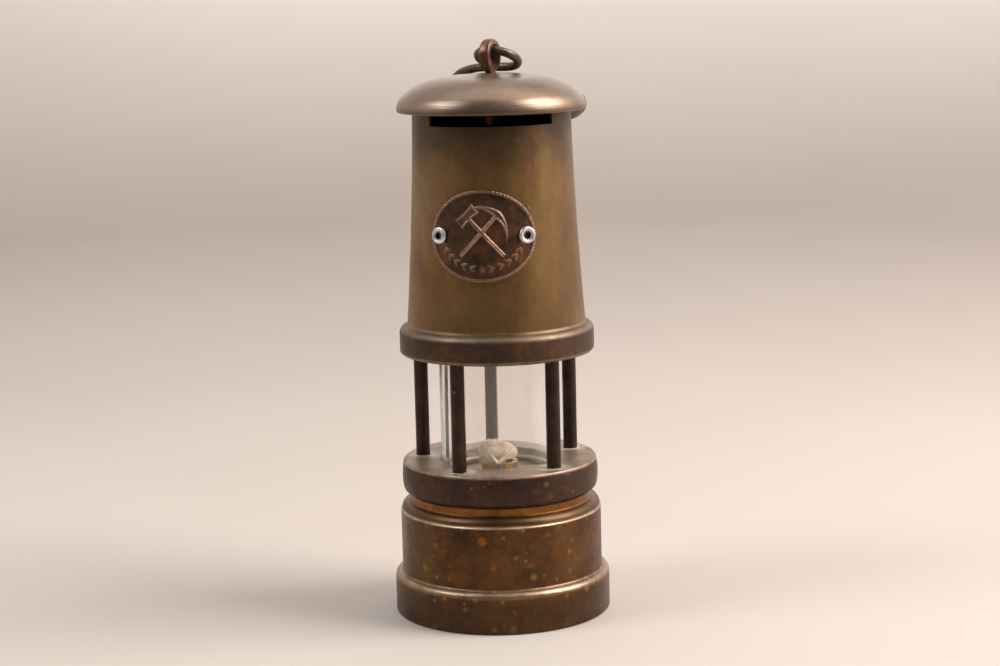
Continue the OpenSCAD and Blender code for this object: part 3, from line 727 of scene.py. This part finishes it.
def wick_tuft():
    """The frayed lump over the burner, with one folded yarn in front."""
    rng = random.Random(11)
    foot = BURNER_TOP + 0.35
    height = WICK_TOP - foot

    def on_lump(azimuth, lift, swell=1.0):
        """A point on the lump, which is widest low down, and higher on its left than its right."""
        lean = 1 + 0.08 * math.cos(azimuth - 3.0) + 0.07 * math.sin(2 * azimuth)
        lean += 0.03 * math.sin(5 * azimuth)
        r = 7.2 * math.cos(lift) ** 0.7 * lean * swell
        x, y = r * math.cos(azimuth) - 0.5, r * math.sin(azimuth)
        z = foot + height * (0.36 + 0.52 * math.sin(lift) * swell * (1 - 0.045 * x))
        return (x, y, min(z, WICK_TOP - 0.1))

    rows, columns = 18, 40
    verts = []
    for i in range(rows):
        lift = math.radians(-38 + 126 * i / (rows - 1))
        for j in range(columns):
            azimuth = TAU * j / columns
            swell = 0.86 + 0.05 * math.sin(5 * azimuth + 3 * lift) + rng.uniform(-0.02, 0.02)
            verts.append(on_lump(azimuth, lift, swell))
    parts = [(verts, ring_faces(rows, columns) + end_faces(rows, columns))]
    points = 9
    for strand in range(900):
        loose = strand % 5 == 0
        azimuth = rng.uniform(0, TAU)
        lift = math.radians(rng.uniform(-36, 82))
        turn, rise = rng.uniform(-0.15, 0.15), math.radians(rng.uniform(-11, 11))
        off = rng.uniform(0.88, 1.03)
        path = []
        for k in range(points):
            path.append(on_lump(azimuth, max(-0.65, min(1.45, lift)), off))
            azimuth += turn + rng.uniform(-0.07, 0.07)
            lift += rise + math.radians(rng.uniform(-4, 4))
            off += rng.uniform(0.0, 0.035) if loose else rng.uniform(-0.02, 0.02)
        thick = rng.uniform(0.05, 0.08) if loose else rng.uniform(0.07, 0.19)
        parts.append(tube(path, [thick * (0.4 if k in (0, points - 1) else 1) for k in range(points)], 5))
    parts += folded_yarn(foot)
    make_piece("wick_tuft", *gather(parts), "wick", "wick_cotton", WICK, ["wick"], smooth=60)


def folded_yarn(foot):
    """A yarn of three plies that hangs in a V over the collar's edge, front right."""
    route = [
        (-2.9, -6.4, 3.0), (-1.6, -7.3, 1.9), (-0.3, -7.8, 0.5), (0.3, -8.0, -0.05),
        (1.2, -7.8, 0.6), (3.0, -7.2, 1.9), (5.0, -6.1, 3.4), (6.6, -4.4, 4.8),
    ]
    bends = [Vector((x, y, foot + lift)) for x, y, lift in route]
    smooth = []
    for i in range(len(bends) - 1):
        a, b = bends[max(i - 1, 0)], bends[i]
        c, d = bends[i + 1], bends[min(i + 2, len(bends) - 1)]
        for k in range(6):
            t = k / 6
            smooth.append(0.5 * (
                2 * b + (c - a) * t + (2 * a - 5 * b + 4 * c - d) * t * t + (3 * b - a - 3 * c + d) * t ** 3
            ))
    smooth.append(bends[-1])
    parts = []
    for ply in range(3):
        path = []
        for i, (p, (u, v)) in enumerate(zip(smooth, frames_along(smooth))):
            angle = TAU * (i / 11 + ply / 3)
            path.append(p + (u * math.cos(angle) + v * math.sin(angle)) * 0.3)
        parts.append(tube(path, 0.34, 7))
    return parts


# ---- Glass and gauze ----


def chimney():
    """Plain glass tube with fire-polished rims."""
    rim = 0.9
    inner = GLASS_R - GLASS_WALL
    profile = [
        *arc(GLASS_R - rim, GLASS_BOTTOM + rim, rim, -90, 0, 6),
        *arc(GLASS_R - rim, GLASS_TOP - rim, rim, 0, 90, 6),
        *arc(inner + rim, GLASS_TOP - rim, rim, 90, 180, 6),
        *arc(inner + rim, GLASS_BOTTOM + rim, rim, 180, 270, 6),
    ]
    shape = lathe(profile, 360)
    make_piece("chimney_glass", *shape, "lamp_frame", "clear_glass", GLASS, ["glass_chimney"], smooth=60)


def woven_gauze():
    """Two sets of wires, woven over and under each other, with a woven crown."""
    wire_r, rise, pitch, sides = 0.24, 0.26, 1.75, 4
    foot_r, head_r = 18.9, 17.3
    uprights = 66
    rows = int((GAUZE_TOP - 1 - GAUZE_BOTTOM) / pitch)
    step = 3

    def wall_r(z):
        """Middle radius of the weave, which narrows from the foot to the crown."""
        t = min(1, max(0, (z - GAUZE_BOTTOM - 6) / (GAUZE_TOP - 12 - GAUZE_BOTTOM - 6)))
        return foot_r + (head_r - foot_r) * t

    parts = []
    for row in range(rows + 1):
        z = GAUZE_BOTTOM + 0.4 + pitch * row
        path = []
        for i in range(uprights * step):
            angle = TAU * i / (uprights * step)
            r = wall_r(z) + rise * math.cos(uprights / 2 * angle + math.pi * row)
            path.append((r * math.cos(angle), r * math.sin(angle), z))
        parts.append(tube(path, wire_r, sides, closed=True))
    for k in range(uprights):
        angle = TAU * k / uprights
        path = []
        for i in range(rows * step + 1):
            z = GAUZE_BOTTOM + 0.4 + pitch * i / step
            r = wall_r(z) - rise * math.cos(math.pi * (i / step + k))
            path.append((r * math.cos(angle), r * math.sin(angle), z))
        parts.append(tube(path, wire_r, sides))
    crown_z = GAUZE_TOP - 0.6
    reach = head_r + 0.3
    across = int(reach / pitch)
    for line in range(-across, across + 1):
        half = math.sqrt(reach ** 2 - (line * pitch) ** 2)
        count = max(4, int(2 * half / pitch * step))
        for turned in (False, True):
            path = []
            for i in range(count + 1):
                along = -half + 2 * half * i / count
                lift = 0.22 * math.cos(math.pi * (along / pitch + line + turned))
                x, y = (line * pitch, along) if turned else (along, line * pitch)
                path.append((x, y, crown_z + lift))
            parts.append(tube(path, wire_r, sides))
    hem_r = head_r + 0.2
    turns = [TAU * i / 96 for i in range(96)]
    hem = [(hem_r * math.cos(turn), hem_r * math.sin(turn), crown_z) for turn in turns]
    parts.append(tube(hem, 0.5, 8, closed=True))
    make_piece("gauze_woven", *gather(parts), "lamp_frame", "gauze_wire", GAUZE, ["gauze"], smooth=80)


# ---- Emblem plate and rivets ----


def bar_distance(x, y, a, b, half):
    """Distance from points to the outline of a straight bar from a to b, negative inside."""
    ax, ay = a
    dx, dy = b[0] - ax, b[1] - ay
    length = math.hypot(dx, dy)
    along = ((x - ax) * dx + (y - ay) * dy) / length
    aside = np.abs((x - ax) * dy - (y - ay) * dx) / length
    past = np.maximum(np.maximum(-along, along - length), 0)
    return np.where(past > 0, np.hypot(past, np.maximum(aside - half, 0)), aside - half)


def hammer_distance(x, y):
    """Hammer standing along +y: a long handle and a block head."""
    handle = bar_distance(x, y, (0, -12.5), (0, 9), 0.75)
    flare = 1.75 + 0.5 * (np.abs(x) / 4.6) ** 3
    head = np.maximum(np.abs(x) - 4.6, np.abs(y - 8.6) - flare)
    return np.minimum(handle, head)


def pick_distance(x, y):
    """Pick standing along +y: a long handle and a curved head with two points."""
    handle = bar_distance(x, y, (0, -12.5), (0, 10.4), 0.75)
    bow_r = 11.0
    bow_y = 9.4 - bow_r
    taper = 1.55 - 0.155 * np.abs(x)
    bow = np.abs(np.hypot(x, y - bow_y) - bow_r) - taper
    head = np.where((y > bow_y) & (np.abs(x) < 9.6), bow, 9.0)
    return np.minimum(handle, head)


def turned_points(x, y, degrees):
    """The points as seen from axes turned by an angle."""
    a = math.radians(degrees)
    return x * math.cos(a) + y * math.sin(a), -x * math.sin(a) + y * math.cos(a)


def leaf_distance(x, y, centre, degrees, length, width):
    """Rough distance from points to the outline of an oval leaf, negative inside."""
    u, v = turned_points(x - centre[0], y - centre[1], degrees)
    return (np.sqrt((u / length) ** 2 + (v / width) ** 2) - 1) * width


def emblem_relief(s, t):
    """Height of the relief over the plate's ground, and how rubbed each point is."""
    y = t - 1.4
    hammer = hammer_distance(*turned_points(s, y, 43))
    pick = pick_distance(*turned_points(s, y, -43))
    tools = np.minimum(hammer, pick)
    body = 0.30 * np.clip(0.5 - tools / 0.5, 0, 1)
    outline = 0.26 * np.exp(-((tools + 0.3) / 0.3) ** 2)
    crossing = np.where((pick < 0.2) & (hammer > 0), -0.06, 0)
    leaves = np.full_like(s, 9.0)
    sprig_w, sprig_h = 16.6, 13.2
    for side in (-1, 1):
        for i in range(6):
            a = math.radians(270 + side * (13 + 12.5 * i))
            centre = (sprig_w * math.cos(a), sprig_h * math.sin(a) + 0.4)
            lean = math.degrees(math.atan2(sprig_h * math.cos(a), -sprig_w * math.sin(a)))
            for tilt, out in ((35, 0.55), (-35, -0.55)):
                spot = (centre[0] + out * math.cos(a), centre[1] + out * math.sin(a))
                leaves = np.minimum(leaves, leaf_distance(s, t, spot, lean + side * tilt, 1.35, 0.5))
    sprig = 0.26 * np.clip(0.5 - leaves / 0.35, 0, 1)
    knot = np.hypot(s, t + 13.0) - 1.1
    stud = 0.3 * np.clip(1 - np.maximum(knot + 1.1, 0) / 1.2, 0, 1) ** 0.5
    height = np.maximum.reduce([body + outline + crossing, sprig, stud])
    rubbed = np.clip(np.maximum(outline / 0.26 * 0.9, (sprig + stud) * 2.2) + body * 0.9, 0, 1)
    return height, rubbed


def emblem_plate():
    """Oval plate bent to the bonnet, with a rope border, crossed pick and hammer and a sprig."""
    rings, spokes = 120, 640
    bend_r = bonnet_radius(PLATE_Z) + PLATE_T
    share = np.concatenate([[0.004], np.linspace(0.02, 0.90, rings - 30), np.linspace(0.905, 0.997, 29)])
    angle = np.arange(spokes) * TAU / spokes
    s = np.outer(share, np.cos(angle)) * PLATE_W / 2
    t = np.outer(share, np.sin(angle)) * PLATE_H / 2
    height, rubbed = emblem_relief(s, t)
    edge = (1 - share)[:, None] * (PLATE_W + PLATE_H) / 4 * np.ones_like(s)
    strand = 0.5 + 0.5 * np.sin(84 * angle[None, :] + edge * 3.2)
    rope = np.clip(1 - ((edge - 0.75) / 0.75) ** 2, 0, 1) ** 0.5
    rope_height = rope * (0.34 + 0.16 * strand)
    near_edge = edge < 1.6
    height = np.where(near_edge, np.maximum(rope_height, 0), height)
    rubbed = np.where(near_edge, rope * (0.45 + 0.45 * strand), rubbed)
    rng = np.random.default_rng(5)
    for _ in range(24):
        k, p, q = rng.uniform(0.3, 1.6), rng.uniform(0, TAU), rng.uniform(0, TAU)
        height += 0.007 * np.sin(k * (s * math.cos(p) + t * math.sin(p)) + q)
    height += PLATE_T - 0.32
    verts, relief = [], []
    for i in range(rings):
        for j in range(spokes):
            z = PLATE_Z + t[i, j]
            r = bonnet_radius(z) + height[i, j]
            turn = s[i, j] / bend_r
            verts.append((r * math.sin(turn), -r * math.cos(turn), z))
            relief.append(float(rubbed[i, j]))
    for lift in (0.45, 0.02):
        for j in range(spokes):
            z = PLATE_Z + PLATE_H / 2 * math.sin(angle[j])
            r = bonnet_radius(z) + lift
            turn = PLATE_W / 2 * math.cos(angle[j]) / bend_r
            verts.append((r * math.sin(turn), -r * math.cos(turn), z))
            relief.append(0.25)
    rows = rings + 2
    inside_out = ring_faces(rows, spokes) + end_faces(rows, spokes)
    faces = [tuple(reversed(face)) for face in inside_out]
    shape = (verts, faces)
    piece = make_piece(
        "emblem_relief", *shape, "lamp_frame", "plate_bronze", BRONZE, ["emblem_plate"], smooth=55
    )
    layer = piece.data.attributes.new("relief", "FLOAT", "POINT")
    layer.data.foreach_set("value", relief)


def rivets():
    """Two blind rivets with a dished head and an open bore, on the bonnet's slope. The bore and the dish
    carry painted shade.
    """
    lean = math.atan((bonnet_radius(PLATE_Z - 5) - bonnet_radius(PLATE_Z + 5)) / 10)
    plate_r = bonnet_radius(PLATE_Z) + PLATE_T
    swing = RIVET_SPAN / 2 / plate_r
    seat, bore, shank, head = 0.12, 0.95, 1.6, 3.35
    profile = [
        (bore, -4.3), (shank, -4.3), (shank, seat),
        (head - 0.1, seat), (head, seat + 0.1), (head, seat + 0.25),
        *arc(head - 0.75, seat + 0.25, 0.75, 0, 90, 8), (2.25, seat + 0.95), (2.0, seat + 0.8),
        (1.85, seat + 0.76), (1.6, seat + 0.84), (1.4, seat + 0.8), (1.24, seat + 0.55), (1.16, seat + 0.1),
        (1.1, -0.8), (bore, -0.9),
    ]
    verts, faces = lathe(profile, 64)
    reach = [math.hypot(x, y) for x, y, z in verts]
    # Painted shade: 1 in the bore and its lip, 0.5 in the dished head.
    dark = [1.0 if r < 1.3 else 0.5 if r < 1.95 else 0.0 for r in reach]
    parts = []
    for side in (-1, 1):
        place = (
            Matrix.Rotation(side * swing - math.pi / 2, 4, "Z")
            @ Matrix.Translation((plate_r, 0, PLATE_Z))
            @ Matrix.Rotation(math.pi / 2 - lean, 4, "Y")
        )
        parts.append(([tuple(place @ Vector(v)) for v in verts], faces))
    piece = make_piece(
        "blind_rivets", *gather(parts), "lamp_frame", "rivet_aluminium", RIVET, ["plate_rivets"], smooth=35
    )
    layer = piece.data.attributes.new("bore", "FLOAT", "POINT")
    layer.data.foreach_set("value", dark * 2)


# ---- Eye and hook ----


def eye_path():
    """Inner line of the split pin in its own plane: (sideways, height, share of the loop)."""
    loop_z = EYE_TOP - EYE_HOLE_R - EYE_STRAP_T
    neck_z = HOOD_TOP + 0.6
    drop = loop_z - neck_z
    tangent = math.degrees(math.asin(EYE_HOLE_R / drop))
    gap = 0.06
    splay_z = HOOD_TOP - 2.6
    leg = splay_z - EYE_LEG_END - 0.4
    half = [(gap + leg * math.sin(LEG_SPLAY) * k / 6, splay_z - leg * k / 6, 0.0) for k in range(6, 0, -1)]
    half += [(gap, splay_z + (neck_z - 0.6 - splay_z) * k / 4, 0.0) for k in range(5)]
    sweep = arc(0, loop_z, EYE_HOLE_R, -tangent, 180 + tangent, 40)
    end_x, end_z = sweep[0]
    half += [(gap + (end_x - gap) * k / 6, neck_z + (end_z - neck_z) * k / 6, k / 6) for k in range(1, 6)]
    middle = [(x, z, 1.0) for x, z in sweep]
    return half + middle + [(-x, z, share) for x, z, share in reversed(half)]


def eye_strap():
    """Split pin of half-round strap: a loop over the hood and two splayed legs below it."""
    path = eye_path()
    sides = 20
    verts = []
    points = [Vector((p[0], p[1])) for p in path]
    for i, (x, z, share) in enumerate(path):
        along = (points[min(i + 1, len(path) - 1)] - points[max(i - 1, 0)]).normalized()
        out = Vector((along.y, -along.x))
        width = LEG_R * 2 + (EYE_STRAP_W - LEG_R * 2) * share
        thick = LEG_R + (EYE_STRAP_T - LEG_R) * share
        boxy = 1 - 0.52 * share
        for k in range(sides):
            a = TAU * k / sides
            across = math.copysign(abs(math.cos(a)) ** boxy, math.cos(a)) * width / 2
            rise = math.sin(a)
            depth = thick * abs(rise) ** boxy if rise >= 0 else -0.05 * abs(rise) ** 0.5
            spot = Vector((x, z)) + out * depth
            verts.append((across, spot.x, spot.y))
    turn = Matrix.Rotation(EYE_TURN, 4, "Z")
    verts = [tuple(turn @ Vector(v)) for v in verts]
    walls = [(a, d, c, b) for a, b, c, d in ring_faces(len(path), sides)]
    ends = [tuple(reversed(face)) for face in end_faces(len(path), sides)]
    make_piece("eye_strap", verts, walls + ends, "eye", "eye_copper", COPPER, ["eye_pin"], smooth=50)


def hook_point(u, v):
    """A point of the hook's own plane: u across the slope, v down it."""
    across = Vector((math.cos(EYE_TURN), math.sin(EYE_TURN), 0))
    back = Vector((-math.sin(EYE_TURN), math.cos(EYE_TURN), 0))
    down = back * math.cos(HOOK_SLOPE) - Vector((0, 0, math.sin(HOOK_SLOPE)))
    return Vector((0, 0, HOOK_PASS_Z)) + across * u + down * v


def wire_hook():
    """Bent wire: a small eye, a short shank and the large crook."""
    bend = math.degrees(HOOK_EYE_BEND)
    crook = math.degrees(CROOK_BEND)
    flat = arc(0, HOOK_EYE_R, HOOK_EYE_R, 90 - bend, 90, 80)
    flat += [(-HOOK_SHANK * k / 5, 2 * HOOK_EYE_R) for k in range(1, 5)]
    flat += arc(-HOOK_SHANK, 2 * HOOK_EYE_R + CROOK_R, CROOK_R, -90, -90 - crook, 110)
    path, radii = round_ends([hook_point(u, v) for u, v in flat], HOOK_R)
    radii = [r * (1 + 0.012 * math.sin(i * 0.9) + 0.01 * math.sin(i * 0.37)) for i, r in enumerate(radii)]
    make_piece("wire_hook", *tube(path, radii, 28), "hook", "hook_wire", HOOK, ["hook"], smooth=60)


# ---- Stage, light and camera ----

CAMERA_DISTANCE = 0.8809
CAMERA_HEIGHT = 0.2584
CAMERA_DOWN = math.radians(9.33)
CAMERA_ASIDE = math.radians(0.086)
CAMERA_ROLL = math.radians(-1.41)
CAMERA_LENS = 79.16
LAMP_TURN = math.radians(8.3)


def make_camera():
    """Camera in front of the lamp and a little above it, tipped down and slightly rolled."""
    data = bpy.data.cameras.new("camera")
    data.lens = CAMERA_LENS
    data.sensor_width = 36
    data.clip_start = 0.05
    camera = bpy.data.objects.new("camera", data)
    bpy.context.scene.collection.objects.link(camera)
    turn = Matrix.Rotation(LAMP_TURN, 4, "Z")
    aim = Matrix.Rotation(-CAMERA_ASIDE, 4, "Z") @ Matrix.Rotation(math.pi / 2 - CAMERA_DOWN, 4, "X")
    spot = Matrix.Translation((0, -CAMERA_DISTANCE, CAMERA_HEIGHT))
    camera.matrix_world = turn @ spot @ aim @ Matrix.Rotation(CAMERA_ROLL, 4, "Z")
    bpy.context.scene.camera = camera


def stage_material():
    """Pale matte studio surface. It glows up the wall to keep it even, and less far to the left."""
    nodes = Nodes("studio")
    height = nodes.axis()[0]
    tone = nodes.ramp(nodes.spread(height, 0, 0.5), [(0, (0.47, 0.41, 0.36)), (1, (0.64, 0.59, 0.57))])
    tone = nodes.blend(nodes.spread(nodes.noise(3, 2), 0.3, 0.7, 0, 0.1), tone, (0.7, 0.65, 0.6))
    side = nodes.add("ShaderNodeSeparateXYZ", {"Vector": nodes.place}).outputs["X"]
    upward, sideways = nodes.spread(height, -0.02, 0.5, 0.06, 1.5), nodes.spread(side, -1.3, -0.45, 0.3, 1)
    glow = nodes.math("MULTIPLY", upward, sideways)
    nodes.shader({"Base Color": tone, "Roughness": 0.8, "Emission Color": tone, "Emission Strength": glow})
    return nodes.material


def make_stage():
    """A large floor, and a half-round backdrop that curves up from it behind the lamp."""
    radius, cove, tall, steps, floor_z = 1.9, 0.5, 1.6, 96, -0.0002
    profile = [(x, y + floor_z) for x, y in arc(radius - cove, cove, cove, -90, 0, 12)] + [(radius, tall)]
    verts, faces = [], []
    for r, z in profile:
        for j in range(steps + 1):
            angle = LAMP_TURN + math.pi / 2 + math.radians(115) * (2 * j / steps - 1)
            verts.append((r * math.cos(angle), r * math.sin(angle), z))
    for i in range(len(profile) - 1):
        for j in range(steps):
            a = i * (steps + 1) + j
            faces.append((a, a + 1, a + steps + 2, a + steps + 1))
    floor_r = 4
    turns = [TAU * k / steps for k in range(steps)]
    rim = [(floor_r * math.cos(turn), floor_r * math.sin(turn), floor_z) for turn in turns]
    material = stage_material()
    for name, points, sides in (("backdrop", verts, faces), ("floor", rim, [tuple(range(steps))])):
        mesh = bpy.data.meshes.new(name)
        mesh.from_pydata(points, [], sides)
        mesh.shade_smooth()
        mesh.materials.append(material)
        thing = bpy.data.objects.new(name, mesh)
        bpy.context.scene.collection.objects.link(thing)


def soft_light(name, azimuth, elevation, distance, size, power, colour):
    """A soft light that faces the lamp. Azimuth 0 is the camera's side, and 90 is its right."""
    data = bpy.data.lights.new(name, "AREA")
    data.shape = "RECTANGLE"
    data.size, data.size_y = size
    data.energy = power
    data.color = colour
    light = bpy.data.objects.new(name, data)
    a, e = LAMP_TURN + math.radians(azimuth), math.radians(elevation)
    spot = Vector((math.sin(a) * math.cos(e), -math.cos(a) * math.cos(e), math.sin(e))) * distance
    light.location = spot + Vector((0, 0, 0.11))
    light.rotation_mode = "QUATERNION"
    light.rotation_quaternion = spot.to_track_quat("Z", "Y")
    bpy.context.scene.collection.objects.link(light)


def make_lights():
    """Main light from the right, a cool one from the left and a wide one from above."""
    soft_light("right_softbox", 80, 42, 1.15, (0.7, 0.8), 20, (1.0, 0.95, 0.91))
    soft_light("left_softbox", -72, 46, 1.15, (0.4, 0.5), 6, (0.9, 0.95, 1.0))
    soft_light("top_softbox", 180, 80, 1.4, (1.3, 0.8), 4, (1.0, 0.97, 0.94))


def make_world():
    """Pale to look at and through glass. Where the lamp mirrors it, pale behind and dark in front."""
    world = bpy.data.worlds.new("studio")
    bpy.context.scene.world = world
    world.use_nodes = True
    tree = world.node_tree
    tree.nodes.clear()

    def add(kind, links=(), **settings):
        made = tree.nodes.new(kind)
        for key, value in settings.items():
            setattr(made, key, value)
        for key, socket in links:
            tree.links.new(socket, made.inputs[key])
        return made

    path = add("ShaderNodeLightPath").outputs
    direct = [(0, path["Is Camera Ray"]), (1, path["Is Transmission Ray"])]
    seen = add("ShaderNodeMath", direct, operation="MAXIMUM")
    place = add("ShaderNodeTexCoord").outputs["Generated"]
    behind = add("ShaderNodeVectorMath", [(0, place)], operation="DOT_PRODUCT")
    behind.inputs[1].default_value = (-math.sin(LAMP_TURN), math.cos(LAMP_TURN), 0.15)
    shade = add("ShaderNodeMapRange", [("Value", behind.outputs["Value"])])
    for key, value in (("From Min", -0.45), ("From Max", 0.7), ("To Min", 0.05), ("To Max", 0.55)):
        shade.inputs[key].default_value = value
    mirrored = add("ShaderNodeBackground", [("Strength", shade.outputs[0])])
    mirrored.inputs["Color"].default_value = (0.95, 0.9, 0.86, 1)
    plain = add("ShaderNodeBackground")
    plain.inputs["Color"].default_value = (0.74, 0.68, 0.66, 1)
    sides = [(0, seen.outputs[0]), (1, mirrored.outputs[0]), (2, plain.outputs[0])]
    mixed = add("ShaderNodeMixShader", sides)
    add("ShaderNodeOutputWorld", [("Surface", mixed.outputs[0])])


make_camera()
dress_frame()
vessel_top()
wadding()
wick_cord()
wick_tuft()
chimney()
woven_gauze()
emblem_plate()
rivets()
eye_strap()
wire_hook()
make_stage()
make_lights()
make_world()
bpy.context.scene.view_settings.view_transform = "Standard"
